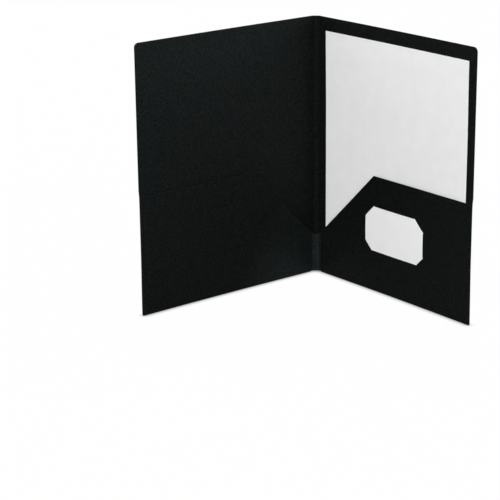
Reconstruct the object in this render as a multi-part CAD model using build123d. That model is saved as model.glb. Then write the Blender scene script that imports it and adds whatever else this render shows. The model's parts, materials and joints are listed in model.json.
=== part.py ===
"""A presentation folder of black plastic sheet, standing open on its base.

Two covers hang on a narrow spine by scored creases. The bottom of the sheet folds up inside to make
a pocket on each cover, and the back pocket has four slits that hold a card by its corners. Outside,
the front cover carries a framed clear window, which is a sleeve open at the top for a cover sheet.

Millimetres, +Z up. The origin is the middle of the spine's lower edge, and the folder opens
towards -Y. Each cover is drawn flat, as on a die line: X runs from its fold line to its outer edge,
Y runs up, and Z is the depth, from the middle of the panel towards the inside of the folder.
"""

import os
from math import cos, radians, sin, sqrt, tan

from build123d import *

# Paper that the folder holds
SHEET_WIDTH = 215.9
SHEET_HEIGHT = 279.4
PAPER_THICKNESS = 0.12
PAPER_CLEARANCE = 0.1
PAPER_FACE_CLEARANCE = 0.15
CARD_WIDTH = 88.9
CARD_HEIGHT = 50.8
CARD_THICKNESS = 0.3
CARD_CLEARANCE = 0.05

# Covers and spine, with the fold angle in degrees
SHEET_SPINE_MARGIN = 11.9
SHEET_OUTER_MARGIN = 10.2
SHEET_TOP_MARGIN = 15.0
PANEL_THICKNESS = 0.5
CORNER_RADIUS = 5.0
SPINE_WIDTH = 6.0
CREASE_WIDTH = 1.2
CREASE_THICKNESS = 0.25
FOLD_ANGLE = 44.2

# Pockets
POCKET_GAP = 1.2
POCKET_HEIGHT = 131.6
POCKET_TOP_LENGTH = 147.4
POCKET_START = 6.0
POCKET_START_HEIGHT = 48.4
BRIDGE_NOTCH_DEPTH = 4.6
BASE_BEND_RADIUS = 0.2

# Card slits in the back pocket
CARD_FROM_OUTER_EDGE = 70.3
CARD_BELOW_POCKET_TOP = 34.4
TOP_TUCK_LEG = 12.8
BASE_TUCK_LEG = 9.8
SLIT_WIDTH = 1.5
SLIT_CLEARANCE = 0.15
SLIT_OVERRUN = 1.0

# Window sleeve on the front cover
FRAME_THICKNESS = 0.4
FILM_THICKNESS = 0.15
SLEEVE_GAP = 0.45
WINDOW_SPINE_BAR = 16.0
WINDOW_OUTER_BAR = 19.0
WINDOW_TOP_BAR = 14.0
WINDOW_BASE_BAR = 13.0
WINDOW_RADIUS = 4.0
FILM_CLEARANCE = 1.0
FILM_TOP_SETBACK = 3.0
INSERT_SPINE_MARGIN = 8.5

# Welds
WELD_WIDTH = 2.0
SPINE_WELD_INSET = 3.0
OUTER_WELD_INSET = 4.0
BASE_WELD_INSET = 4.0
WELD_TOP_SETBACK = 2.0

# Sizes of the covers that follow from these
PANEL_WIDTH = SHEET_SPINE_MARGIN + SHEET_WIDTH + SHEET_OUTER_MARGIN
SHEET_BASE = PANEL_THICKNESS + PAPER_CLEARANCE
PANEL_HEIGHT = SHEET_BASE + SHEET_HEIGHT + SHEET_TOP_MARGIN
PANEL_START = CREASE_WIDTH / 2
PANEL_FACE = PANEL_THICKNESS / 2
SPINE_REACH = SPINE_WIDTH / 2 - PANEL_START
BASE_FOLD_HEIGHT = PANEL_THICKNESS + BASE_BEND_RADIUS

# Depths of the pocket and the sleeve that follow from these
POCKET_DEPTH = POCKET_GAP + PANEL_THICKNESS
POCKET_BACK = POCKET_DEPTH - PANEL_THICKNESS / 2
POCKET_FACE = POCKET_DEPTH + PANEL_THICKNESS / 2
FILM_BACK = -PANEL_FACE - SLEEVE_GAP
FRAME_BACK = FILM_BACK - FILM_THICKNESS

# Places of the welds and the card that follow from these
SPINE_WELD_END = SPINE_WELD_INSET + WELD_WIDTH
OUTER_WELD_END = PANEL_WIDTH - OUTER_WELD_INSET
OUTER_WELD_START = OUTER_WELD_END - WELD_WIDTH
BASE_WELD_TOP = BASE_WELD_INSET + WELD_WIDTH
CARD_RIGHT = PANEL_WIDTH - CARD_FROM_OUTER_EDGE
CARD_LEFT = CARD_RIGHT - CARD_WIDTH
CARD_TOP = POCKET_HEIGHT - CARD_BELOW_POCKET_TOP
CARD_BASE = CARD_TOP - CARD_HEIGHT


# Drawing and folding

def plate(left, base, right, top):
    """A rectangle between two edges and two heights of the drawing."""
    corner = (Align.MIN, Align.MIN)
    return Pos(left, base) * Rectangle(right - left, top - base, align=corner)


def outline(*corners):
    """A closed shape of straight sides."""
    return make_face(Polyline(*corners, close=True))


def ply(shape, start, stop):
    """A sheet of a drawn shape, between two depths."""
    return Pos(0, 0, start) * extrude(shape, stop - start)


def bent_strip(centre, radius, thickness, start_angle, sweep):
    """The section of a strip that is bent round a centre."""
    inner = CenterArc(centre, radius - thickness / 2, start_angle, sweep)
    outer = CenterArc(centre, radius + thickness / 2, start_angle, sweep)
    ends = [Line(inner @ 0, outer @ 0), Line(inner @ 1, outer @ 1)]
    return make_face([inner, outer, *ends])


def on_spine(drawn):
    """Stands a drawing up in the plane of the spine."""
    return Plane.XZ.location * drawn


def on_back_cover(drawn):
    """Stands a drawing up and turns it about the back fold line."""
    return Pos(SPINE_WIDTH / 2, 0, 0) * Rot(0, 0, -FOLD_ANGLE) * on_spine(drawn)


def on_front_cover(drawn):
    """Stands a drawing up as the other hand and turns it about the front fold line."""
    other_hand = mirror(on_spine(drawn), about=Plane.YZ)
    return Pos(-SPINE_WIDTH / 2, 0, 0) * Rot(0, 0, FOLD_ANGLE) * other_hand


# Covers, spine and creases

def rounded_cover(shape):
    """The same shape with its top outer corner rounded."""
    top_outer_corner = shape.vertices().sort_by(lambda vertex: vertex.X + vertex.Y)[-1]
    return fillet(top_outer_corner, CORNER_RADIUS)


def cover_panel():
    """The main sheet of a cover. It reaches the base beside its crease and meets the fold elsewhere."""
    shape = outline(
        (PANEL_START, 0),
        (POCKET_START, 0),
        (POCKET_START, BASE_FOLD_HEIGHT),
        (PANEL_WIDTH, BASE_FOLD_HEIGHT),
        (PANEL_WIDTH, PANEL_HEIGHT),
        (PANEL_START, PANEL_HEIGHT),
    )
    return ply(rounded_cover(shape), -PANEL_FACE, PANEL_FACE)


def spine_panel():
    """The strip between the two creases."""
    return ply(plate(-SPINE_REACH, 0, SPINE_REACH, PANEL_HEIGHT), -PANEL_FACE, PANEL_FACE)


def crease(side):
    """The thinned web of one score, bent as the folder stands. Side is 1 at the back, -1 at the front."""
    radius = PANEL_START / tan(radians(FOLD_ANGLE) / 2)
    section = bent_strip((side * SPINE_REACH, -radius), radius, CREASE_THICKNESS, 90, -side * FOLD_ANGLE)
    return extrude(section, PANEL_HEIGHT)


# Pockets and the fold along the base

def pocket_outline():
    """A pocket with a level top that slopes down towards the spine."""
    return outline(
        (POCKET_START, BASE_FOLD_HEIGHT),
        (PANEL_WIDTH, BASE_FOLD_HEIGHT),
        (PANEL_WIDTH, POCKET_HEIGHT),
        (PANEL_WIDTH - POCKET_TOP_LENGTH, POCKET_HEIGHT),
        (POCKET_START, POCKET_START_HEIGHT),
    )


def pocket(shape):
    """The folded-up sheet of a pocket."""
    return ply(shape, POCKET_BACK, POCKET_FACE)


def pocket_bridge():
    """The strip of pocket sheet that curves across the spine, with a notch in its top."""
    turn = radians(FOLD_ANGLE)
    across = SPINE_WIDTH / 2 + POCKET_START * cos(turn) - POCKET_DEPTH * sin(turn)
    inward = POCKET_START * sin(turn) + POCKET_DEPTH * cos(turn)
    radius = across / sin(turn)
    centre = (0, -inward - radius * cos(turn))
    section = bent_strip(centre, radius, PANEL_THICKNESS, 90 - FOLD_ANGLE, 2 * FOLD_ANGLE)
    strip = extrude(section, POCKET_START_HEIGHT)
    side = across + PANEL_THICKNESS
    front_view = outline(
        (-side, BASE_FOLD_HEIGHT),
        (side, BASE_FOLD_HEIGHT),
        (side, POCKET_START_HEIGHT),
        (across, POCKET_START_HEIGHT),
        (0, POCKET_START_HEIGHT - BRIDGE_NOTCH_DEPTH),
        (-across, POCKET_START_HEIGHT),
        (-side, POCKET_START_HEIGHT),
    )
    return strip & on_spine(ply(front_view, 0, inward + PANEL_THICKNESS))


def base_fold():
    """The channel where the sheet turns up from a cover into its pocket, drawn on its outer end."""
    end_view = Plane(origin=(PANEL_WIDTH, 0, 0), x_dir=(0, 0, 1), z_dir=(-1, 0, 0))
    bend = BASE_BEND_RADIUS + PANEL_THICKNESS / 2
    panel_side = PANEL_FACE + BASE_BEND_RADIUS
    pocket_side = POCKET_BACK - BASE_BEND_RADIUS
    section = plate(panel_side, 0, pocket_side, PANEL_THICKNESS)
    section += bent_strip((panel_side, BASE_FOLD_HEIGHT), bend, PANEL_THICKNESS, 180, 90)
    section += bent_strip((pocket_side, BASE_FOLD_HEIGHT), bend, PANEL_THICKNESS, 270, 90)
    return extrude(end_view * section, PANEL_WIDTH - POCKET_START)


def pocket_weld():
    """The seam that closes the outer side of a pocket."""
    top = POCKET_HEIGHT - WELD_TOP_SETBACK
    return ply(plate(OUTER_WELD_START, BASE_FOLD_HEIGHT, OUTER_WELD_END, top), PANEL_FACE, POCKET_BACK)


# Card and its slits

def tucks():
    """The place of each slit, with +X towards the card's corner, and half of its length."""
    corners = [
        (CARD_RIGHT, CARD_TOP, TOP_TUCK_LEG, 45),
        (CARD_LEFT, CARD_TOP, TOP_TUCK_LEG, 135),
        (CARD_LEFT, CARD_BASE, BASE_TUCK_LEG, 225),
        (CARD_RIGHT, CARD_BASE, BASE_TUCK_LEG, 315),
    ]
    for across, up, leg, turn in corners:
        half_length = leg / sqrt(2)
        yield Pos(across, up) * Rot(0, 0, turn) * Pos(-half_length, 0), half_length


def slit_pocket_outline():
    """The back pocket's outline, with a slit across each corner of the card."""
    shape = pocket_outline()
    for place, half_length in tucks():
        shape -= place * Rectangle(SLIT_WIDTH, 2 * (half_length + SLIT_OVERRUN))
    return shape


def business_card():
    """A card that lies on the pocket and bends through the slits, so that its corners are behind."""
    front = POCKET_FACE + CARD_CLEARANCE
    behind = POCKET_BACK - CARD_CLEARANCE - CARD_THICKNESS
    ramp_reach = SLIT_WIDTH / 2 - SLIT_CLEARANCE
    shape = plate(CARD_LEFT, CARD_BASE, CARD_RIGHT, CARD_TOP)
    card = ply(shape, front, front + CARD_THICKNESS)
    whole_depth = ply(shape, behind, front + CARD_THICKNESS)
    for place, half_length in tucks():
        reach = 2 * half_length
        corner_block = plate(-ramp_reach, -reach, reach, reach)
        card -= place * ply(corner_block, front, front + CARD_THICKNESS)
        lower_line = [(-ramp_reach, front), (ramp_reach, behind), (reach, behind)]
        upper_line = [(across, depth + CARD_THICKNESS) for across, depth in reversed(lower_line)]
        section = Plane.XZ.offset(-reach) * outline(*lower_line, *upper_line)
        card += (place * extrude(section, 2 * reach)) & whole_depth
    return card


# Window sleeve

def window_frame():
    """The outer ply of the front cover, with its window."""
    cover = rounded_cover(plate(PANEL_START, BASE_FOLD_HEIGHT, PANEL_WIDTH, PANEL_HEIGHT))
    window = plate(
        WINDOW_SPINE_BAR,
        WINDOW_BASE_BAR,
        PANEL_WIDTH - WINDOW_OUTER_BAR,
        PANEL_HEIGHT - WINDOW_TOP_BAR,
    )
    window = fillet(window.vertices(), WINDOW_RADIUS)
    return ply(cover - window, FRAME_BACK - FRAME_THICKNESS, FRAME_BACK)


def window_film():
    """The clear film bonded behind the frame."""
    shape = plate(
        SPINE_WELD_END + FILM_CLEARANCE,
        BASE_WELD_TOP + FILM_CLEARANCE,
        OUTER_WELD_START - FILM_CLEARANCE,
        PANEL_HEIGHT - FILM_TOP_SETBACK,
    )
    return ply(shape, FRAME_BACK, FILM_BACK)


def sleeve_weld():
    """The seam that joins the frame to the panel on three sides and leaves the top open."""
    top = PANEL_HEIGHT - WELD_TOP_SETBACK
    outside = plate(SPINE_WELD_INSET, BASE_WELD_INSET, OUTER_WELD_END, top)
    inside = plate(SPINE_WELD_END, BASE_WELD_TOP, OUTER_WELD_START, top)
    return ply(outside - inside, FRAME_BACK, -PANEL_FACE)


# Sheets of paper

def letter_sheet(left, base, back):
    """A sheet of paper with its lower spine-side corner and its back at these places."""
    return ply(plate(left, base, left + SHEET_WIDTH, base + SHEET_HEIGHT), back, back + PAPER_THICKNESS)


def cover_insert():
    """The sheet behind the window, standing on the seam along the base."""
    back = -PANEL_FACE - (SLEEVE_GAP + PAPER_THICKNESS) / 2
    return letter_sheet(INSERT_SPINE_MARGIN, BASE_WELD_TOP + PAPER_CLEARANCE, back)


def pocket_sheet():
    """The sheet in the back pocket, standing in the base fold against the panel."""
    return letter_sheet(SHEET_SPINE_MARGIN, SHEET_BASE, PANEL_FACE + PAPER_FACE_CLEARANCE)


def folder():
    """Every piece by name, in its place."""
    return {
        "spine_panel": on_spine(spine_panel()),
        "front_crease": crease(-1),
        "back_crease": crease(1),
        "pocket_bridge": pocket_bridge(),
        "front_panel": on_front_cover(cover_panel()),
        "front_bottom_fold": on_front_cover(base_fold()),
        "front_pocket": on_front_cover(pocket(pocket_outline())),
        "front_pocket_weld": on_front_cover(pocket_weld()),
        "window_frame": on_front_cover(window_frame()),
        "window_film": on_front_cover(window_film()),
        "sleeve_weld": on_front_cover(sleeve_weld()),
        "cover_insert": on_front_cover(cover_insert()),
        "back_panel": on_back_cover(cover_panel()),
        "back_bottom_fold": on_back_cover(base_fold()),
        "back_pocket": on_back_cover(pocket(slit_pocket_outline())),
        "back_pocket_weld": on_back_cover(pocket_weld()),
        "business_card": on_back_cover(business_card()),
        "pocket_sheet": on_back_cover(pocket_sheet()),
    }


os.makedirs("parts", exist_ok=True)
for name, piece in folder().items():
    export_step(piece, f"parts/{name}.step")
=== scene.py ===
"""Looks for the two pocket folder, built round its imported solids.

Metres, in the axes of the frame. The pieces of a cover are drawn flat, in millimetres: u runs out
from the fold line, z runs up, and v is the depth from the middle of the panel towards the inside of
the folder. They are then stood up at the fold angle, on the body that carries them.
"""

import json
import math

import bmesh
import bpy
import numpy as np
from mathutils import Matrix, Vector
from mathutils.geometry import delaunay_2d_cdt


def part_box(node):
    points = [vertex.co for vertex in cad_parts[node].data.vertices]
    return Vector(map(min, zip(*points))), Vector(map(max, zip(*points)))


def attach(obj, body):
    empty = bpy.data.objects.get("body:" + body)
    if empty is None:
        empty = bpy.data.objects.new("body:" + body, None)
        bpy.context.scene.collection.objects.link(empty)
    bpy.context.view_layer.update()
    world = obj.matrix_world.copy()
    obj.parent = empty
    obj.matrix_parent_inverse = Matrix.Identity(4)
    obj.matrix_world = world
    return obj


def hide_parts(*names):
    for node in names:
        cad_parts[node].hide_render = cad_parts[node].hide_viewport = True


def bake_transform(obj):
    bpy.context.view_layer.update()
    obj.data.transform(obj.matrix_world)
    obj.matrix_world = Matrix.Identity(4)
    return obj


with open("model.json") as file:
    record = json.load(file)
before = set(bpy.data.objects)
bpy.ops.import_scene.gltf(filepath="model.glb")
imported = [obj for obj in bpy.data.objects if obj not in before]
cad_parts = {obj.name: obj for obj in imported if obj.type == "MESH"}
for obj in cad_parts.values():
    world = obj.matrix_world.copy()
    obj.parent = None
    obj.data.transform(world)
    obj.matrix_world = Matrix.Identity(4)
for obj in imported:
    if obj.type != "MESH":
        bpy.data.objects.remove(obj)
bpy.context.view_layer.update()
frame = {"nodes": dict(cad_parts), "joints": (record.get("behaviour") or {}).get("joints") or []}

MM = 0.001
TOUCH = 0.01
ROOT_TWO = math.sqrt(2)
UP = np.array((0.0, 0.0, 1.0))
JOINTS = {joint["name"]: joint for joint in frame["joints"]}


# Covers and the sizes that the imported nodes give

class Cover:
    """One cover's body and its own directions, from the joint that it turns on."""

    def __init__(self, body, fold):
        joint = JOINTS[fold]
        self.body = body
        self.origin = np.array(joint["pos_m"], float)
        self.side = math.copysign(1.0, self.origin[0])
        self.angle = math.radians(-joint["range_deg"][0])
        across = (self.side * math.cos(self.angle), -math.sin(self.angle), 0.0)
        inward = (-self.side * math.sin(self.angle), -math.cos(self.angle), 0.0)
        self.axes = np.array((across, UP, inward))

    def stand(self, drawn):
        """Drawn points, as u, z and v, stood up in the frame."""
        return self.origin + MM * np.asarray(drawn, float) @ self.axes

    def points(self, node):
        """A node's corner points, drawn flat."""
        corners = np.array([vertex.co for vertex in frame["nodes"][node].data.vertices])
        return (corners - self.origin) @ self.axes.T / MM

    def limits(self, node):
        """A node's least and greatest u, z and v."""
        points = self.points(node)
        return points.min(0), points.max(0)


front = Cover("front_cover", "front_fold")
back = Cover("back_cover", "back_fold")

PANEL_LOW, PANEL_HIGH = back.limits("back_panel")
FOLD_LOW, FOLD_HIGH = back.limits("back_bottom_fold")
POCKET_LOW, POCKET_HIGH = back.limits("back_pocket")
SEAM_LOW, SEAM_HIGH = back.limits("back_pocket_weld")
CARD_LOW, CARD_HIGH = back.limits("business_card")
PAPER_LOW, PAPER_HIGH = back.limits("pocket_sheet")
BORDER_LOW, BORDER_HIGH = front.limits("window_frame")
FILM_LOW, FILM_HIGH = front.limits("window_film")
SLEEVE_LOW, SLEEVE_HIGH = front.limits("sleeve_weld")
INSERT_LOW, INSERT_HIGH = front.limits("cover_insert")

SHEET_THICKNESS = PANEL_HIGH[2] - PANEL_LOW[2]
BORDER_THICKNESS = BORDER_HIGH[2] - BORDER_LOW[2]
FILM_THICKNESS = FILM_HIGH[2] - FILM_LOW[2]
PAPER_THICKNESS = PAPER_HIGH[2] - PAPER_LOW[2]

pocket_points = back.points("back_pocket")
POCKET_PEAK = pocket_points[pocket_points[:, 1] > POCKET_HIGH[1] - TOUCH, 0].min()
POCKET_START_TOP = pocket_points[pocket_points[:, 0] < POCKET_LOW[0] + TOUCH, 1].max()
POCKET_DEPTH = (POCKET_LOW[2] + POCKET_HIGH[2]) / 2

# Sizes of the solids that their limits don't give
CARD_THICKNESS = 0.3
CREASE_THICKNESS = 0.25
CORNER_RADIUS = 5.0
BRIDGE_NOTCH_DEPTH = 4.6
SLEEVE_WELD_WIDTH = 2.0
TOP_TUCK_LEG = 12.8
BASE_TUCK_LEG = 9.8
WINDOW_RADIUS = 4.0
WINDOW_SPINE_BAR = 16.0
WINDOW_OUTER_BAR = 19.0
WINDOW_TOP_BAR = 14.0
WINDOW_BASE_BAR = 13.0
WINDOW_LOW = (WINDOW_SPINE_BAR, WINDOW_BASE_BAR)
WINDOW_HIGH = (PANEL_HIGH[0] - WINDOW_OUTER_BAR, PANEL_HIGH[1] - WINDOW_TOP_BAR)

# How the covers and pockets bend away from the drawing
BOW = 1.2
SEAM_RUN = 2.6
SEAM_PULL = 0.9
SEAM_GAP = 0.28
SEAM_FADE = 9.0
SEAM_BASE_RUN = 75.0
SEAM_PRESS = 0.1
PRESS_OUTSIDE = 0.4
PRESS_INSIDE = 0.3
MOUTH = 0.5
MOUTH_BASE = 40.0
MOUTH_SPINE_START = 30.0
MOUTH_SPINE_END = 110.0
MOUTH_OUTER_END = 190.0

# How the card and the pocket bend at the slits
TUCK_LIFT = 0.35
TUCK_RUN = 6.0
TUCK_EDGE = 0.3
TUCK_SIDE_OUTSIDE = 1.5
TUCK_SIDE_INSIDE = 3.0
SLIT_WIDTH = 0.9
SLIT_OVERRUN = 1.0
CARD_CLEARANCE = 0.06
CARD_PASSAGE = 0.5
CARD_CROWN = 0.35
CARD_CROWN_END = 22.0

# How the window sleeve and the paper bend
SLEEVE_RUN = 2.0
SLEEVE_MOUTH_ABOVE = 1.5
SLEEVE_MOUTH_BELOW = 6.0
SLEEVE_PRESS = 0.06
PAPER_CURL = 0.8
PAPER_CURL_START = 150.0

# How finely the sheets are divided
STEP = 7.0
SEAM_STEP = 0.6
SEAM_BAND_MARGIN = 1.0
SLEEVE_BAND_OUTSIDE = 1.6
SLEEVE_BAND_INSIDE = 1.0
SLEEVE_BAND_TOP = 3.4
WELD_STEP = 1.0
SLIT_STEP = 1.5
TUCK_STEP = 1.3
TUCK_GRID_OUTSIDE = 3.0
TUCK_GRID_INSIDE = 5.0
CARD_STEP = 4.0
CARD_EDGE_STEP = 1.2
CARD_LINES = (-3.0, -1.5, -0.7, -0.4, -0.1, 0.2, 0.5, 0.9, 1.8, 3.5)
CARD_LINE_PARTS = 12
ARC_POINTS = 9
BASE_BEND_POINTS = 7
SPINE_ROWS = 43
SPINE_POINTS = 7
SCORE_POINTS = 9
SCORE_STEEPNESS = 3
BRIDGE_ROWS = 13
BRIDGE_POINTS = 13
GRID_CLEARANCE = 0.5
SAME_POINT = 1e-5
SLIVER = 0.002

# How far the edges are eased
SHEET_EASE = 0.13
BORDER_EASE = 0.1
SCORE_EASE = 0.08
CARD_EASE = 0.05
PAPER_EASE = 0.03
SHARPEST_CORNER = 0.5


def ramp(place, start, end):
    """0 before start, 1 past end, and a smooth rise between."""
    share = np.clip((place - start) / (end - start), 0.0, 1.0)
    return share * share * (3.0 - 2.0 * share)


def bow(u):
    """The covers belly outwards a little between the crease and the outer edge."""
    span = PANEL_HIGH[0] - PANEL_LOW[0]
    return -BOW * np.sin(math.pi * (u - PANEL_LOW[0]) / span)


def side_seam(u, z):
    """How far the pocket's outer side is drawn together, from 0 to 1."""
    across = ramp(u, SEAM_LOW[0] - SEAM_RUN, SEAM_LOW[0])
    rise = ramp(z, FOLD_HIGH[1], SEAM_BASE_RUN)
    fall = ramp(z, SEAM_HIGH[1] + SEAM_FADE, SEAM_HIGH[1])
    return across * rise * fall


def pressed_line(place, low, high):
    """A shallow line pressed by the welding bar, from 0 to 1 across it."""
    rise = ramp(place, low - PRESS_OUTSIDE, low + PRESS_INSIDE)
    return rise * ramp(place, high + PRESS_OUTSIDE, high - PRESS_INSIDE)


def panel_depth(u, z):
    """The middle of a cover's panel."""
    seam = side_seam(u, z)
    line = pressed_line(u, SEAM_LOW[0], SEAM_HIGH[0]) * seam
    return bow(u) + SEAM_PULL * seam + SEAM_PRESS * line


def plain_pocket_depth(u, z):
    """The middle of a pocket, whose mouth stands off and whose side is drawn to the panel."""
    seam = side_seam(u, z)
    drawn_in = POCKET_DEPTH - SEAM_PULL - SHEET_THICKNESS - SEAM_GAP
    line = pressed_line(u, SEAM_LOW[0], SEAM_HIGH[0]) * seam
    rise = ramp(z, MOUTH_BASE, POCKET_HIGH[1])
    spine_side = ramp(u, MOUTH_SPINE_START, MOUTH_SPINE_END)
    outer_side = ramp(u, SEAM_LOW[0] - SEAM_RUN, MOUTH_OUTER_END)
    mouth = rise * spine_side * outer_side
    return bow(u) + POCKET_DEPTH - drawn_in * seam - SEAM_PRESS * line + MOUTH * mouth


def tucks():
    """Each corner of the card as u, z, the way to the card's middle, and the leg of its slit."""
    yield CARD_HIGH[0], CARD_HIGH[1], -1, -1, TOP_TUCK_LEG
    yield CARD_LOW[0], CARD_HIGH[1], 1, -1, TOP_TUCK_LEG
    yield CARD_LOW[0], CARD_LOW[1], 1, 1, BASE_TUCK_LEG
    yield CARD_HIGH[0], CARD_LOW[1], -1, 1, BASE_TUCK_LEG


def across_slit(u, z, tuck):
    """Distance from the line of one slit towards the card's middle."""
    corner_u, corner_z, way_u, way_z, leg = tuck
    return (way_u * (u - corner_u) + way_z * (z - corner_z) - leg) / ROOT_TWO


def past_slit(u, z):
    """Distance from the nearest slit towards the card's middle, less than 0 at its corners."""
    return np.min([across_slit(u, z, tuck) for tuck in tucks()], axis=0)


def slit_pocket_depth(u, z):
    """The back pocket, which also lifts over the tucked corners of the card."""
    lift = np.zeros(np.shape(u))
    for tuck in tucks():
        corner_u, corner_z, way_u, way_z, leg = tuck
        across = across_slit(u, z, tuck)
        along = (way_u * (u - corner_u) - way_z * (z - corner_z)) / ROOT_TWO
        reach = leg / ROOT_TWO
        corner = ramp(across, -TUCK_RUN, -TUCK_EDGE) * (across < 0)
        side = ramp(np.abs(along), reach + TUCK_SIDE_OUTSIDE, reach - TUCK_SIDE_INSIDE)
        lift = np.maximum(lift, corner * side)
    return plain_pocket_depth(u, z) + TUCK_LIFT * lift


def card_depth(u, z):
    """The card lies on the pocket, crowned a little, with its corners behind the slits."""
    pocket = plain_pocket_depth(u, z)
    stand_off = SHEET_THICKNESS / 2 + CARD_THICKNESS / 2 + CARD_CLEARANCE
    past = past_slit(u, z)
    in_front = ramp(past, -CARD_PASSAGE, CARD_PASSAGE)
    crown = CARD_CROWN * ramp(past, CARD_PASSAGE, CARD_CROWN_END)
    behind = TUCK_LIFT * ramp(past, -TUCK_RUN, -TUCK_EDGE) - stand_off
    return pocket + in_front * (stand_off + crown) + (1 - in_front) * behind


def sleeve_seam(u, z):
    """How far the window border is drawn to the panel along its three welded sides, from 0 to 1."""
    low_u = ramp(u, FILM_LOW[0], FILM_LOW[0] - SLEEVE_RUN)
    high_u = ramp(u, FILM_HIGH[0], FILM_HIGH[0] + SLEEVE_RUN)
    low_z = ramp(z, SLEEVE_LOW[1] + SLEEVE_RUN, SLEEVE_LOW[1])
    mouth = ramp(z, SLEEVE_HIGH[1] + SLEEVE_MOUTH_ABOVE, SLEEVE_HIGH[1] - SLEEVE_MOUTH_BELOW)
    return np.maximum(np.maximum(low_u, high_u) * mouth, low_z)


def border_depth(u, z):
    """The middle of the window border."""
    free = bow(u) + (BORDER_LOW[2] + BORDER_HIGH[2]) / 2
    seam = sleeve_seam(u, z)
    held = panel_depth(u, z) - SHEET_THICKNESS / 2 - SEAM_GAP - BORDER_THICKNESS / 2
    line = np.maximum(
        pressed_line(u, SLEEVE_LOW[0], SLEEVE_LOW[0] + SLEEVE_WELD_WIDTH),
        pressed_line(u, SLEEVE_HIGH[0] - SLEEVE_WELD_WIDTH, SLEEVE_HIGH[0]),
    )
    line = np.maximum(line, pressed_line(z, SLEEVE_LOW[1], SLEEVE_LOW[1] + SLEEVE_WELD_WIDTH))
    return free * (1 - seam) + held * seam + SLEEVE_PRESS * line * seam


def paper_depth(u, z):
    """The sheet in the back pocket, whose top leans off the panel."""
    curl = PAPER_CURL * ramp(z, PAPER_CURL_START, PAPER_HIGH[1]) ** 2
    return bow(u) + (PAPER_LOW[2] + PAPER_HIGH[2]) / 2 + curl


def film_depth(u, z):
    """The middle of the window's film."""
    return bow(u) + (FILM_LOW[2] + FILM_HIGH[2]) / 2


def insert_depth(u, z):
    """The middle of the sheet behind the window."""
    return bow(u) + (INSERT_LOW[2] + INSERT_HIGH[2]) / 2


# Outlines and grids

def ring(*corners, step=STEP):
    """A closed outline through these corners, with points no further apart than a step."""
    points = []
    for start, end in zip(corners, corners[1:] + corners[:1]):
        count = max(1, math.ceil(math.dist(start, end) / step))
        for k in range(count):
            share = k / count
            points.append(tuple(a + (b - a) * share for a, b in zip(start, end)))
    return points


def corner_arc(u, z, radius, start):
    """A quarter turn about a centre, anticlockwise from an angle in degrees."""
    turns = np.radians(np.linspace(start, start + 90, ARC_POINTS))
    return [(u + radius * math.cos(turn), z + radius * math.sin(turn)) for turn in turns]


def rectangle(low, high, step=STEP):
    """The outline between two limits."""
    return ring(
        (low[0], low[1]), (high[0], low[1]), (high[0], high[1]), (low[0], high[1]), step=step
    )


def stations(low, high, step, *bands):
    """Places from low to high, closer together across each band of start, end and step."""
    places = list(np.linspace(low, high, max(2, round((high - low) / step) + 1)))
    for start, end, fine in bands:
        places = [place for place in places if not start - fine / 2 < place < end + fine / 2]
        places += list(np.linspace(start, end, max(2, round((end - start) / fine) + 1)))
    return sorted(places)


def ring_edges(rings):
    """The two ends of every edge of some outlines."""
    starts = np.array([point for loop in rings for point in loop])
    ends = np.array([point for loop in rings for point in loop[1:] + loop[:1]])
    return starts, ends


def inside(points, rings):
    """Which points are inside the outline and outside its holes."""
    starts, ends = ring_edges(rings)
    u, z = points[:, None, 0], points[:, None, 1]
    crosses = (starts[:, 1] > z) != (ends[:, 1] > z)
    rise = np.where(crosses, ends[:, 1] - starts[:, 1], 1.0)
    meets = starts[:, 0] + (z - starts[:, 1]) * (ends[:, 0] - starts[:, 0]) / rise
    return (crosses & (u < meets)).sum(1) % 2 == 1


def clear_of(points, rings, least):
    """Which points stay at least that far from every outline."""
    starts, ends = ring_edges(rings)
    ways = ends - starts
    shares = ((points[:, None] - starts) * ways).sum(2) / (ways ** 2).sum(1)
    nearest = starts + np.clip(shares, 0, 1)[..., None] * ways
    return np.linalg.norm(points[:, None] - nearest, axis=2).min(1) > least


def face_heights(triangles):
    """The least height of each triangle."""
    sides = triangles - np.roll(triangles, 1, axis=1)
    doubled = np.abs(sides[:, 0, 0] * sides[:, 1, 1] - sides[:, 0, 1] * sides[:, 1, 0])
    return doubled / np.linalg.norm(sides, axis=2).max(1)


def divide(rings, us, zs, extra=()):
    """Points and triangles over an outline and its holes, on a grid of stations."""
    corners = [point for loop in rings for point in loop]
    edges = []
    first = 0
    for loop in rings:
        edges += [(first + k, first + (k + 1) % len(loop)) for k in range(len(loop))]
        first += len(loop)
    grid = np.array([(u, z) for u in us for z in zs] + list(extra))
    grid = grid[inside(grid, rings)]
    grid = grid[clear_of(grid, rings, GRID_CLEARANCE)]
    points = [Vector(point) for point in corners] + [Vector(point) for point in grid]
    found, _, faces, *_ = delaunay_2d_cdt(points, edges, [], 0, SAME_POINT)
    found = np.array([tuple(point) for point in found])
    faces = np.array([tuple(face) for face in faces])
    faces = faces[inside(found[faces].mean(1), rings)]
    faces = faces[face_heights(found[faces]) > SLIVER]
    used = np.unique(faces)
    places = np.full(len(found), -1)
    places[used] = np.arange(len(used))
    return found[used], [tuple(face) for face in places[faces].tolist()]


# Thin solids

def place_object(name, data):
    """A new object in the scene."""
    thing = bpy.data.objects.new(name, data)
    bpy.context.scene.collection.objects.link(thing)
    return thing


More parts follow.
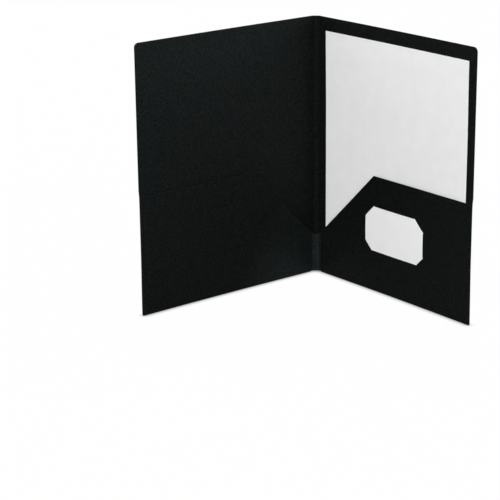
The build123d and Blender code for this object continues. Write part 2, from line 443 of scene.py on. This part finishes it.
def closed_mesh(name, points, faces, wide_faces, materials):
    """A piece whose first, wide faces are smooth. The others are flat, in the second material."""
    mesh = bpy.data.meshes.new(name)
    mesh.from_pydata(points.tolist(), [], faces)
    smooth = np.arange(len(faces)) < wide_faces
    mesh.polygons.foreach_set("use_smooth", smooth)
    for material in materials:
        mesh.materials.append(material)
    if len(materials) > 1:
        mesh.polygons.foreach_set("material_index", (~smooth).astype(np.int32))
    tidy = bmesh.new()
    tidy.from_mesh(mesh)
    bmesh.ops.recalc_face_normals(tidy, faces=tidy.faces)
    for edge in tidy.edges:
        edge.smooth = all(face.smooth for face in edge.link_faces)
    tidy.to_mesh(mesh)
    tidy.free()
    mesh.update()
    return place_object(name, mesh)


def border_edges(faces):
    """The edges that have a face on one side only, in the order that the face turns."""
    directed = {(a, b) for face in faces for a, b in zip(face, face[1:] + face[:1])}
    return sorted((a, b) for a, b in directed if (b, a) not in directed)


def edge_inset(middles, normals, border, ease):
    """How far the wide faces draw in at each point of the border, to ease its edge."""
    outward = np.zeros_like(middles)
    for a, b in border:
        way = np.cross(middles[b] - middles[a], normals[a])
        way /= np.linalg.norm(way)
        outward[a] += way
        outward[b] += way
    size = np.maximum((outward ** 2).sum(1), SHARPEST_CORNER)[:, None]
    return 2 * ease * outward / size


def thin_solid(name, middles, normals, faces, thickness, ease, materials, square=None):
    """A closed sheet about a middle surface, with eased edges, except at its square points.

    The thickness and the ease are in millimetres.
    """
    count = len(middles)
    normals = normals / np.linalg.norm(normals, axis=1)[:, None]
    first, second, third = (middles[point] for point in faces[0][:3])
    if np.dot(np.cross(second - first, third - second), normals[faces[0][0]]) < 0:
        faces = [face[::-1] for face in faces]
    border = border_edges(faces)
    inset = edge_inset(middles, normals, border, MM * ease)
    if square is not None:
        inset[square] = 0
    half = np.broadcast_to(MM * np.asarray(thickness) / 2, (count,))[:, None]
    eased = half - MM * ease
    rim = sorted({a for a, _ in border})
    points = np.concatenate((
        middles + half * normals - inset,
        middles - half * normals - inset,
        (middles + eased * normals)[rim],
        (middles - eased * normals)[rim],
    ))
    shell = list(faces) + [tuple(count + a for a in face[::-1]) for face in faces]
    wide_faces = len(shell)
    on_rim = {a: k for k, a in enumerate(rim)}
    upper = 2 * count
    lower = upper + len(rim)
    for a, b in border:
        ra, rb = on_rim[a], on_rim[b]
        shell.append((b, a, upper + ra, upper + rb))
        shell.append((upper + rb, upper + ra, lower + ra, lower + rb))
        shell.append((lower + rb, lower + ra, count + a, count + b))
    return closed_mesh(name, points, shell, wide_faces, materials)


def sheet(name, cover, rings, us, zs, depth, thickness, ease, materials, joined=None, extra=()):
    """A drawn sheet with holes, bent to a depth and stood up on a cover. Joined edges stay square.

    The thickness is a number or changes over the sheet, as the depth does.
    """
    points, faces = divide(rings, us, zs, extra)
    u, z = points.T
    middles = cover.stand(np.column_stack((u, z, depth(u, z))))
    normals = np.tile(cover.axes[2], (len(points), 1))
    square = None if joined is None else joined(u, z)
    through = thickness(u, z) if callable(thickness) else thickness
    return thin_solid(name, middles, normals, faces, through, ease, materials, square)


def grid_faces(rows, columns):
    """Four-sided faces over a grid of points in rows."""
    return [
        (r * columns + c, r * columns + c + 1, (r + 1) * columns + c + 1, (r + 1) * columns + c)
        for r in range(rows - 1)
        for c in range(columns - 1)
    ]


def square_ends(middles):
    """The first and last point of every row, where a strip meets other pieces."""
    square = np.zeros(middles.shape[:2], bool)
    square[:, 0] = square[:, -1] = True
    return square


def strip(name, middles, normals, thickness, ease, materials, square):
    """A thin solid over rows of points."""
    rows, columns = middles.shape[:2]
    flat = [array.reshape(-1, 3) for array in (middles, normals)]
    faces = grid_faces(rows, columns)
    return thin_solid(name, *flat, faces, thickness, ease, materials, square.ravel())


# Materials

def cleared(owner):
    """The node tree of a material or a world, with nothing in it."""
    owner.use_nodes = True
    owner.node_tree.nodes.clear()
    return owner.node_tree


def add(tree, kind, inputs=None, **settings):
    """A new node. An input that is a socket is linked, and any other is set."""
    node = tree.nodes.new(kind)
    for key, value in settings.items():
        setattr(node, key, value)
    for key, value in (inputs or {}).items():
        if isinstance(value, bpy.types.NodeSocket):
            tree.links.new(value, node.inputs[key])
        else:
            node.inputs[key].default_value = value
    return node


def combine(tree, operation, first, second):
    """One number from two."""
    return add(tree, "ShaderNodeMath", {0: first, 1: second}, operation=operation).outputs[0]


def new_material(name):
    """An empty material, its tree and the place of a point on the piece, in metres."""
    material = bpy.data.materials.new(name)
    tree = cleared(material)
    return material, tree, add(tree, "ShaderNodeTexCoord").outputs["Object"]


def finish_material(tree, inputs):
    """The surface shader with these inputs, joined to the output."""
    shader = add(tree, "ShaderNodeBsdfPrincipled", inputs)
    add(tree, "ShaderNodeOutputMaterial", {"Surface": shader.outputs["BSDF"]})


def noise(tree, place, scale, detail=2.0, roughness=0.5):
    """A noise from 0 to 1 over the piece."""
    inputs = {"Vector": place, "Scale": scale, "Detail": detail, "Roughness": roughness}
    return add(tree, "ShaderNodeTexNoise", inputs).outputs["Fac"]


def between(tree, share, low, high, start=0.3, end=0.7):
    """A value that runs from low to high as a share runs from start to end."""
    inputs = {"Value": share, "From Min": start, "From Max": end, "To Min": low, "To Max": high}
    return add(tree, "ShaderNodeMapRange", inputs).outputs["Result"]


def shades(tree, share, dark, light, start=0.3, end=0.7):
    """A colour that runs from dark to light as a share runs from start to end."""
    node = add(tree, "ShaderNodeValToRGB", {"Fac": share})
    for element, place, colour in zip(node.color_ramp.elements, (start, end), (dark, light)):
        element.position = place
        element.color = (*colour, 1.0)
    return node.outputs["Color"]


def bump(tree, height, distance, strength, normal=None):
    """Fine relief from a height, over another relief if one is given."""
    inputs = {"Height": height, "Distance": distance, "Strength": strength}
    if normal is not None:
        inputs["Normal"] = normal
    return add(tree, "ShaderNodeBump", inputs).outputs["Normal"]


BLACK_DARK = (0.0025, 0.0032, 0.0030)
BLACK_LIGHT = (0.0050, 0.0062, 0.0059)
BLACK_SHINE_TINT = (0.8, 1.0, 1.0, 1.0)
BLACK_SHINE_SPREAD = 0.15
BLACK_ROUGHNESS_SPREAD = 0.05
SAND_RANGE = (0.4, 0.6)
BEND_FADE = (0.045, 0.105)
PAPER_ROUGHNESS_SPREAD = 0.06


def black_plastic(name, roughness, specular, bent_specular=None):
    """Black sheet with a fine sand grain, satin on the covers, duller on scores, shinier on bends.

    With a second shine, the sheet has it at the foot of the spine, and it fades over the sheet.
    """
    material, tree, place = new_material(name)
    cells = add(tree, "ShaderNodeTexVoronoi", {"Vector": place, "Scale": 1100.0})
    sand = noise(tree, place, scale=430.0, detail=3.0, roughness=0.6)
    smears = noise(tree, place, scale=11.0, detail=3.0)
    grain = bump(tree, cells.outputs["Distance"], distance=0.0002, strength=0.5)
    grain = bump(tree, sand, distance=0.0010, strength=0.5, normal=grain)
    least_shine = (1 - BLACK_SHINE_SPREAD) * specular
    most_shine = (1 + BLACK_SHINE_SPREAD) * specular
    shine = between(tree, sand, least_shine, most_shine, *SAND_RANGE)
    if bent_specular is not None:
        away = add(tree, "ShaderNodeVectorMath", {0: place}, operation="LENGTH").outputs["Value"]
        gain = between(tree, away, bent_specular / specular, 1.0, *BEND_FADE)
        shine = combine(tree, "MULTIPLY", shine, gain)
    smoothest = roughness - BLACK_ROUGHNESS_SPREAD
    roughest = roughness + BLACK_ROUGHNESS_SPREAD
    finish_material(tree, {
        "Base Color": shades(tree, sand, BLACK_DARK, BLACK_LIGHT, *SAND_RANGE),
        "Roughness": between(tree, smears, smoothest, roughest),
        "Specular IOR Level": shine,
        "Specular Tint": BLACK_SHINE_TINT,
        "Normal": grain,
    })
    return material


def whitened_edge_and_painted_highlight():
    """Cut edges of the sheet, a little paler: partly the whitening that the knife leaves, partly a
    painted edge highlight.
    """
    material, tree, place = new_material("black_sheet_edge_painted_highlight")
    nicks = noise(tree, place, scale=420.0, detail=3.0, roughness=0.6)
    finish_material(tree, {
        # The paler edge colour is partly knife whitening and partly a painted highlight along the
        # edges.
        "Base Color": shades(tree, nicks, (0.0040, 0.0052, 0.0052), (0.0085, 0.0105, 0.0105)),
        "Roughness": between(tree, nicks, 0.45, 0.63),
        "Specular IOR Level": 0.1,
        "Normal": bump(tree, nicks, distance=0.0001, strength=0.3),
    })
    return material


def clear_film():
    """Clear film that reflects, with slow ripples, and dims a little what is behind it."""
    material, tree, place = new_material("clear_window_film")
    ripples = noise(tree, place, scale=26.0)
    haze = noise(tree, place, scale=140.0, detail=3.0)
    finish_material(tree, {
        "Base Color": shades(tree, haze, (0.060, 0.068, 0.070), (0.075, 0.084, 0.086)),
        "Roughness": between(tree, haze, 0.09, 0.15),
        "IOR": 1.7,
        "Alpha": 0.03,
        "Normal": bump(tree, ripples, distance=0.0012, strength=0.25),
    })
    return material


def paper(name, dark, light, roughness, specular):
    """White stock with faint clouds and fibres."""
    material, tree, place = new_material(name)
    clouds = noise(tree, place, scale=70.0, detail=3.0)
    fibres = noise(tree, place, scale=1500.0, detail=4.0, roughness=0.65)
    smoothest = roughness - PAPER_ROUGHNESS_SPREAD
    roughest = roughness + PAPER_ROUGHNESS_SPREAD
    finish_material(tree, {
        "Base Color": shades(tree, clouds, dark, light),
        "Roughness": between(tree, fibres, smoothest, roughest),
        "Specular IOR Level": specular,
        "Normal": bump(tree, fibres, distance=0.00006, strength=0.25),
    })
    return material


# Each piece's wide faces have the first material, and its edges have the second
EDGE = whitened_edge_and_painted_highlight()
BLACK = (black_plastic("black_sheet", roughness=0.48, specular=0.058), EDGE)
SCORED = (black_plastic("scored_black_sheet", roughness=0.66, specular=0.035), EDGE)
BENT = (black_plastic("bent_black_sheet", roughness=0.44, specular=0.165), EDGE)
FRONT_POCKET = (
    black_plastic("front_pocket_sheet", roughness=0.44, specular=0.058, bent_specular=0.22),
    EDGE,
)
BACK_POCKET = (
    black_plastic("back_pocket_sheet", roughness=0.48, specular=0.058, bent_specular=0.09),
    EDGE,
)
WELD = BLACK[:1]
FILM = (clear_film(),)
PAPER = (
    paper(
        "office_paper", (0.815, 0.815, 0.817), (0.845, 0.845, 0.847), roughness=0.85, specular=0.2
    ),
)
CARD = (
    paper("card_stock", (0.895, 0.895, 0.897), (0.92, 0.92, 0.922), roughness=0.6, specular=0.3),
)


# Pieces

def stand_for(piece, slot, *nodes):
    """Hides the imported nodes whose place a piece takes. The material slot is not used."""
    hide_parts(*nodes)


def dress(piece, body, slot, *nodes):
    """Puts a piece on its body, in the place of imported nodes."""
    stand_for(piece, slot, *nodes)
    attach(piece, body)


SEAM_BAND = (SEAM_LOW[0] - SEAM_RUN - SEAM_BAND_MARGIN, PANEL_HIGH[0] - SEAM_STEP, SEAM_STEP)
ROUNDED_TOP = corner_arc(
    PANEL_HIGH[0] - CORNER_RADIUS, PANEL_HIGH[1] - CORNER_RADIUS, CORNER_RADIUS, 0
)


def panel(name, cover, node):
    """A cover's main sheet."""
    loop = ring(
        (PANEL_LOW[0], 0.0),
        (FOLD_LOW[0], 0.0),
        (FOLD_LOW[0], FOLD_HIGH[1]),
        (PANEL_HIGH[0], FOLD_HIGH[1]),
        *ROUNDED_TOP,
        (PANEL_LOW[0], PANEL_HIGH[1]),
    )
    us = stations(PANEL_LOW[0], PANEL_HIGH[0], STEP, SEAM_BAND)
    zs = stations(0.0, PANEL_HIGH[1], STEP)

    def joined(u, z):
        at_fold = (z < FOLD_HIGH[1] + TOUCH) & (u > FOLD_LOW[0] - TOUCH)
        return at_fold | (u < PANEL_LOW[0] + TOUCH)

    piece = sheet(
        name, cover, [loop], us, zs, panel_depth, SHEET_THICKNESS, SHEET_EASE, BLACK, joined
    )
    dress(piece, cover.body, "black_plastic", node)


def slit_ring(corner_u, corner_z, way_u, way_z, leg):
    """The narrow hole of one slit."""
    half = leg / 2
    reach = half + SLIT_OVERRUN / ROOT_TWO
    side = SLIT_WIDTH / 2 / ROOT_TWO
    middle_u = corner_u + way_u * half
    middle_z = corner_z + way_z * half
    corners = []
    for along, across in ((1, 1), (-1, 1), (-1, -1), (1, -1)):
        corners.append((
            middle_u + way_u * (along * reach + across * side),
            middle_z + way_z * (-along * reach + across * side),
        ))
    return ring(*corners, step=SLIT_STEP)


def tuck_points():
    """Close points where the pocket lifts at each slit."""
    points = []
    for corner_u, corner_z, way_u, way_z, leg in tucks():
        steps = np.arange(-TUCK_GRID_OUTSIDE, leg + TUCK_GRID_INSIDE, TUCK_STEP)
        points += [(corner_u + way_u * du, corner_z + way_z * dz) for du in steps for dz in steps]
    return points


def pocket(name, cover, node, depth, slits, materials):
    """A pocket's face, with slits for the card on the back cover."""
    loop = ring(
        (POCKET_LOW[0], POCKET_LOW[1]),
        (POCKET_HIGH[0], POCKET_LOW[1]),
        (POCKET_HIGH[0], POCKET_HIGH[1]),
        (POCKET_PEAK, POCKET_HIGH[1]),
        (POCKET_LOW[0], POCKET_START_TOP),
    )
    us = stations(POCKET_LOW[0], POCKET_HIGH[0], STEP, SEAM_BAND)
    zs = stations(POCKET_LOW[1], POCKET_HIGH[1], STEP)
    holes = [slit_ring(*tuck) for tuck in tucks()] if slits else []
    extra = tuck_points() if slits else []

    def joined(u, z):
        return (z < POCKET_LOW[1] + TOUCH) | (u < POCKET_LOW[0] + TOUCH)

    piece = sheet(
        name,
        cover,
        [loop] + holes,
        us,
        zs,
        depth,
        SHEET_THICKNESS,
        SHEET_EASE,
        materials,
        joined,
        extra,
    )
    dress(piece, cover.body, "black_plastic", node)


def base_bend(name, cover, node):
    """The bend along the base, where the sheet turns up into the pocket."""
    bend = FOLD_HIGH[1] - SHEET_THICKNESS / 2
    turns = np.radians(np.linspace(0, 90, BASE_BEND_POINTS))
    path = [(bend - bend * math.cos(turn), FOLD_HIGH[1] - bend * math.sin(turn)) for turn in turns]
    ways = [(-math.cos(turn), -math.sin(turn)) for turn in turns]
    path += [(POCKET_DEPTH - v, z) for v, z in reversed(path)]
    ways += [(-v, z) for v, z in reversed(ways)]
    us = stations(FOLD_LOW[0], FOLD_HIGH[0], STEP)
    middles = np.array([[(u, z, v + bow(u)) for v, z in path] for u in us])
    normals = np.array([[(0.0, z, v) for v, z in ways] for _ in us])
    square = square_ends(middles)
    square[0] = True
    piece = strip(
        name,
        cover.stand(middles),
        normals @ cover.axes,
        SHEET_THICKNESS,
        SHEET_EASE,
        BLACK,
        square,
    )
    dress(piece, cover.body, "black_plastic", node)


def pocket_seam(name, cover, node):
    """The weld that fills the gap between the panel and the pocket's side."""
    us = stations(SEAM_LOW[0], SEAM_HIGH[0], WELD_STEP)
    zs = stations(SEAM_LOW[1], SEAM_HIGH[1], STEP)

    def gap(u, z):
        return plain_pocket_depth(u, z) - panel_depth(u, z) - SHEET_THICKNESS

    def depth(u, z):
        return (panel_depth(u, z) + plain_pocket_depth(u, z)) / 2

    loop = rectangle(SEAM_LOW, SEAM_HIGH)
    piece = sheet(name, cover, [loop], us, zs, depth, gap, PAPER_EASE, WELD)
    dress(piece, cover.body, "black_plastic", node)


def window_border():
    """The outer ply of the front cover, round its window."""
    loop = ring(
        (BORDER_LOW[0], BORDER_LOW[1]),
        (BORDER_HIGH[0], BORDER_LOW[1]),
        *ROUNDED_TOP,
        (BORDER_LOW[0], BORDER_HIGH[1]),
    )
    low_u, low_z = (low + WINDOW_RADIUS for low in WINDOW_LOW)
    high_u, high_z = (high - WINDOW_RADIUS for high in WINDOW_HIGH)
    window = ring(
        *corner_arc(high_u, high_z, WINDOW_RADIUS, 0),
        *corner_arc(low_u, high_z, WINDOW_RADIUS, 90),
        *corner_arc(low_u, low_z, WINDOW_RADIUS, 180),
        *corner_arc(high_u, low_z, WINDOW_RADIUS, 270),
    )
    us = stations(
        BORDER_LOW[0],
        BORDER_HIGH[0],
        STEP,
        (SLEEVE_LOW[0] - SLEEVE_BAND_OUTSIDE, FILM_LOW[0] + SLEEVE_BAND_INSIDE, SEAM_STEP),
        (FILM_HIGH[0] - SLEEVE_BAND_INSIDE, SLEEVE_HIGH[0] + SLEEVE_BAND_OUTSIDE, SEAM_STEP),
    )
    zs = stations(
        BORDER_LOW[1],
        BORDER_HIGH[1],
        STEP,
        (SLEEVE_LOW[1] - SLEEVE_BAND_OUTSIDE, SLEEVE_LOW[1] + SLEEVE_BAND_TOP, SEAM_STEP),
    )
    piece = sheet(
        "window_border",
        front,
        [loop, window],
        us,
        zs,
        border_depth,
        BORDER_THICKNESS,
        BORDER_EASE,
        BLACK,
    )
    dress(piece, front.body, "black_plastic", "window_frame")


def plain_sheet(name, cover, low, high, depth, thickness, materials):
    """A rectangle of film or paper."""
    us = stations(low[0], high[0], STEP)
    zs = stations(low[1], high[1], STEP)
    loop = rectangle(low, high)
    return sheet(name, cover, [loop], us, zs, depth, thickness, PAPER_EASE, materials)


def sleeve_weld():
    """The weld between the window border and the panel."""
    width = SLEEVE_WELD_WIDTH
    low_u, low_z = SLEEVE_LOW[:2]
    high_u, high_z = SLEEVE_HIGH[:2]
    loop = ring(
        (low_u, low_z),
        (high_u, low_z),
        (high_u, high_z),
        (high_u - width, high_z),
        (high_u - width, low_z + width),
        (low_u + width, low_z + width),
        (low_u + width, high_z),
        (low_u, high_z),
    )
    us = stations(low_u, high_u, STEP)
    zs = stations(low_z, high_z, STEP)

    def depth(u, z):
        return panel_depth(u, z) - SHEET_THICKNESS / 2 - SEAM_GAP / 2

    piece = sheet("sleeve_seam", front, [loop], us, zs, depth, SEAM_GAP, PAPER_EASE, WELD)
    dress(piece, front.body, "black_plastic", "sleeve_weld")


def card_points():
    """Close points on the card, along lines beside each slit."""
    points = []
    for corner_u, corner_z, way_u, way_z, leg in tucks():
        for shift in CARD_LINES:
            line = leg + shift * ROOT_TWO
            for k in range(1, CARD_LINE_PARTS):
                points.append((
                    corner_u + way_u * line * k / CARD_LINE_PARTS,
                    corner_z + way_z * line * (CARD_LINE_PARTS - k) / CARD_LINE_PARTS,
                ))
    return points


def held_card():
    """The card, with close points along the slits that its corners go through."""
    us = stations(CARD_LOW[0], CARD_HIGH[0], CARD_STEP)
    zs = stations(CARD_LOW[1], CARD_HIGH[1], CARD_STEP)
    loop = rectangle(CARD_LOW, CARD_HIGH, step=CARD_EDGE_STEP)
    piece = sheet(
        "held_card",
        back,
        [loop],
        us,
        zs,
        card_depth,
        CARD_THICKNESS,
        CARD_EASE,
        CARD,
        extra=card_points(),
    )
    dress(piece, back.body, "white_card", "business_card")


def spine_strip():
    """The flat of the spine between its two scores."""
    low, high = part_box("spine_panel")
    xs = np.linspace(low.x, high.x, SPINE_POINTS)
    zs = np.linspace(low.z, high.z, SPINE_ROWS)
    middles = np.array([[(x, 0.0, z) for x in xs] for z in zs])
    normals = np.tile((0.0, -1.0, 0.0), (*middles.shape[:2], 1))
    piece = strip(
        "spine_strip",
        middles,
        normals,
        SHEET_THICKNESS,
        SHEET_EASE,
        SCORED,
        square_ends(middles),
    )
    dress(piece, "spine", "black_plastic", "spine_panel")


def score(name, cover, node):
    """A thinned score, bent to the angle of its cover's fold."""
    reach = PANEL_LOW[0]
    radius = reach / math.tan(cover.angle / 2)
    start_x = cover.side * cover.origin[0] / MM - reach
    turns = np.linspace(0, cover.angle, SCORE_POINTS)
    zs = np.linspace(0.0, PANEL_HIGH[1], SPINE_ROWS)
    path = [
        (cover.side * (start_x + radius * math.sin(turn)), -radius + radius * math.cos(turn))
        for turn in turns
    ]
    ways = [(cover.side * math.sin(turn), math.cos(turn), 0.0) for turn in turns]
    middles = MM * np.array([[(x, y, z) for x, y in path] for z in zs])
    normals = np.array([ways for _ in zs])
    edge_share = np.abs(np.linspace(-1, 1, SCORE_POINTS)) ** SCORE_STEEPNESS
    thickness = CREASE_THICKNESS + (SHEET_THICKNESS - CREASE_THICKNESS) * edge_share
    piece = strip(
        name,
        middles,
        normals,
        np.tile(thickness, SPINE_ROWS),
        SCORE_EASE,
        SCORED,
        square_ends(middles),
    )
    stand_for(piece, "black_plastic", node)
    end = tuple(cover.stand((reach, 0.0, 0.0)))
    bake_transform(piece)


def bridge(name, cover):
    """Half of the strip that carries the pocket sheet across the spine."""
    low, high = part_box("pocket_bridge")
    middle_y = high.y - MM * SHEET_THICKNESS / 2
    end = cover.stand((POCKET_LOW[0], 0.0, POCKET_DEPTH + bow(POCKET_LOW[0])))
    rise = middle_y - end[1]
    radius = (end[0] ** 2 + rise ** 2) / (2 * rise)
    turns = np.linspace(0, math.asin(abs(end[0]) / radius), BRIDGE_POINTS)
    notch = MM * BRIDGE_NOTCH_DEPTH
    tops = MM * POCKET_START_TOP - notch * (1 - turns / turns[-1])
    ways = [(cover.side * math.sin(turn), math.cos(turn), 0.0) for turn in turns]
    path = [(radius * x, middle_y - radius + radius * y) for x, y, _ in ways]
    rows = np.linspace(0, 1, BRIDGE_ROWS)
    middles = np.array([
        [(x, y, low.z + (top - low.z) * row) for (x, y), top in zip(path, tops)] for row in rows
    ])
    normals = np.array([ways for _ in rows])
    piece = strip(
        name,
        middles,
        normals,
        SHEET_THICKNESS,
        SHEET_EASE,
        BENT,
        square_ends(middles),
    )
    stand_for(piece, "black_plastic", "pocket_bridge")
    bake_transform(piece)


spine_strip()
score("front_score", front, "front_crease")
score("back_score", back, "back_crease")
bridge("front_bridge", front)
bridge("back_bridge", back)
panel("front_panel_skin", front, "front_panel")
panel("back_panel_skin", back, "back_panel")
base_bend("front_base_bend", front, "front_bottom_fold")
base_bend("back_base_bend", back, "back_bottom_fold")
pocket("front_pocket_skin", front, "front_pocket", plain_pocket_depth, False, FRONT_POCKET)
pocket("back_pocket_skin", back, "back_pocket", slit_pocket_depth, True, BACK_POCKET)
pocket_seam("front_side_seam", front, "front_pocket_weld")
pocket_seam("back_side_seam", back, "back_pocket_weld")
window_border()
sleeve_weld()
film = plain_sheet("clear_window", front, FILM_LOW, FILM_HIGH, film_depth, FILM_THICKNESS, FILM)
dress(film, front.body, "clear_film", "window_film")
insert = plain_sheet(
    "cover_paper", front, INSERT_LOW, INSERT_HIGH, insert_depth, PAPER_THICKNESS, PAPER
)
dress(insert, "cover_insert", "white_paper", "cover_insert")
held_card()
leaf = plain_sheet(
    "pocket_paper", back, PAPER_LOW, PAPER_HIGH, paper_depth, PAPER_THICKNESS, PAPER
)
dress(leaf, "pocket_sheet", "white_paper", "pocket_sheet")


# Floor, light and camera

WHITE = (1.0, 1.0, 1.0, 1.0)
FLOOR_REACH = 5.0
FLOOR_DROP = 0.0003
FLOOR_SHADE = 0.36
FLOOR_WHITE_SHARE = 0.99
FLOOR_MIRROR_SHARE = 0.15
# How far the painted contact shade on the floor reaches from the folder, and how many samples it
# takes
PAINTED_SHADE_REACH = 0.007
PAINTED_SHADE_SAMPLES = 8
WORLD_STRENGTH = 0.22

FOLDER_MIDDLE = Vector((0.0, -0.08, 0.15))
LAMP_SIZE = 2.0

CAMERA_PLACE = Vector((142.74, -1888.92, 643.04)) * MM
CAMERA_YAW = -0.11556
CAMERA_PITCH = -0.31554
CAMERA_ROLL = -0.011
CAMERA_LENS = 125.12
CAMERA_NEAR = 0.05
CAMERA_FAR = 50.0
SENSOR_WIDTH = 36.0


def seen_directly(tree, mirror_share=1.0):
    """1 for rays from the camera, a share for reflections and clear film, 0 for rays that light."""
    path = add(tree, "ShaderNodeLightPath").outputs
    mirror = combine(tree, "MAXIMUM", path["Is Glossy Ray"], path["Is Transmission Ray"])
    shown = combine(tree, "MULTIPLY", mirror, mirror_share)
    return combine(tree, "MAXIMUM", path["Is Camera Ray"], shown)


def mixed(tree, share, first, second):
    """Two shaders in one, with this share of the second."""
    inputs = {0: share, 1: first.outputs[0], 2: second.outputs[0]}
    return add(tree, "ShaderNodeMixShader", inputs).outputs[0]


def white_floor():
    """A pale floor that shows white, darkened near the folder's foot by a painted contact shade;
    its matt share keeps the folder's real shadow.
    """
    ways = ((-1, -1), (1, -1), (1, 1), (-1, 1))
    corners = [(FLOOR_REACH * x, FLOOR_REACH * y, -FLOOR_DROP) for x, y in ways]
    mesh = bpy.data.meshes.new("floor")
    mesh.from_pydata(corners, [], [(0, 1, 2, 3)])
    material = bpy.data.materials.new("white_floor")
    tree = cleared(material)
    shade = (FLOOR_SHADE, FLOOR_SHADE, FLOOR_SHADE, 1.0)
    matt = add(tree, "ShaderNodeBsdfDiffuse", {"Color": shade})
    # Painted contact shade: the occlusion darkens the white that the floor shows near the folder's
    # foot.
    painted_contact_shade = add(
        tree, "ShaderNodeAmbientOcclusion", {"Distance": PAINTED_SHADE_REACH}, samples=PAINTED_SHADE_SAMPLES
    )
    white = add(tree, "ShaderNodeEmission", {"Color": painted_contact_shade.outputs["Color"], "Strength": 1.0})
    share = combine(tree, "MULTIPLY", seen_directly(tree, FLOOR_MIRROR_SHARE), FLOOR_WHITE_SHARE)
    add(tree, "ShaderNodeOutputMaterial", {"Surface": mixed(tree, share, matt, white)})
    mesh.materials.append(material)
    place_object("floor", mesh)


def white_world():
    """A soft light from all round that shows white behind the folder."""
    world = bpy.data.worlds.new("studio")
    tree = cleared(world)
    fill = add(tree, "ShaderNodeBackground", {"Color": WHITE, "Strength": WORLD_STRENGTH})
    white = add(tree, "ShaderNodeBackground", {"Color": WHITE, "Strength": 1.0})
    surface = mixed(tree, seen_directly(tree), fill, white)
    add(tree, "ShaderNodeOutputWorld", {"Surface": surface})
    bpy.context.scene.world = world


def soft_lamp(name, place, power):
    """A square soft light that faces the folder."""
    data = bpy.data.lights.new(name, "AREA")
    data.shape = "SQUARE"
    data.size = LAMP_SIZE
    data.energy = power
    lamp = place_object(name, data)
    lamp.location = place
    lamp.rotation_euler = (FOLDER_MIDDLE - Vector(place)).to_track_quat("-Z", "Y").to_euler()


def photo_camera():
    """The camera that sees the open folder from the front, a little to the right and above."""
    data = bpy.data.cameras.new("camera")
    data.sensor_width = SENSOR_WIDTH
    data.lens = CAMERA_LENS
    data.clip_start = CAMERA_NEAR
    data.clip_end = CAMERA_FAR
    level = math.cos(CAMERA_PITCH)
    forward = Vector((
        math.sin(CAMERA_YAW) * level,
        math.cos(CAMERA_YAW) * level,
        math.sin(CAMERA_PITCH),
    ))
    right = Vector((math.cos(CAMERA_YAW), -math.sin(CAMERA_YAW), 0.0))
    up = right.cross(forward)
    turned_right = math.cos(CAMERA_ROLL) * right + math.sin(CAMERA_ROLL) * up
    turned_up = math.cos(CAMERA_ROLL) * up - math.sin(CAMERA_ROLL) * right
    turn = Matrix((turned_right, turned_up, -forward)).transposed().to_4x4()
    camera = place_object("camera", data)
    camera.matrix_world = Matrix.Translation(CAMERA_PLACE) @ turn
    bpy.context.scene.camera = camera


white_floor()
white_world()
soft_lamp("front_left", (-1.35, -2.42, 1.1), power=57.0)
soft_lamp("front_right", (1.75, -2.27, 1.2), power=47.5)
soft_lamp("back_left", (-1.8, 2.0, 1.6), power=84.0)
soft_lamp("back_right", (2.6, 0.7, 1.6), power=80.0)
photo_camera()
bpy.context.scene.view_settings.view_transform = "Standard"
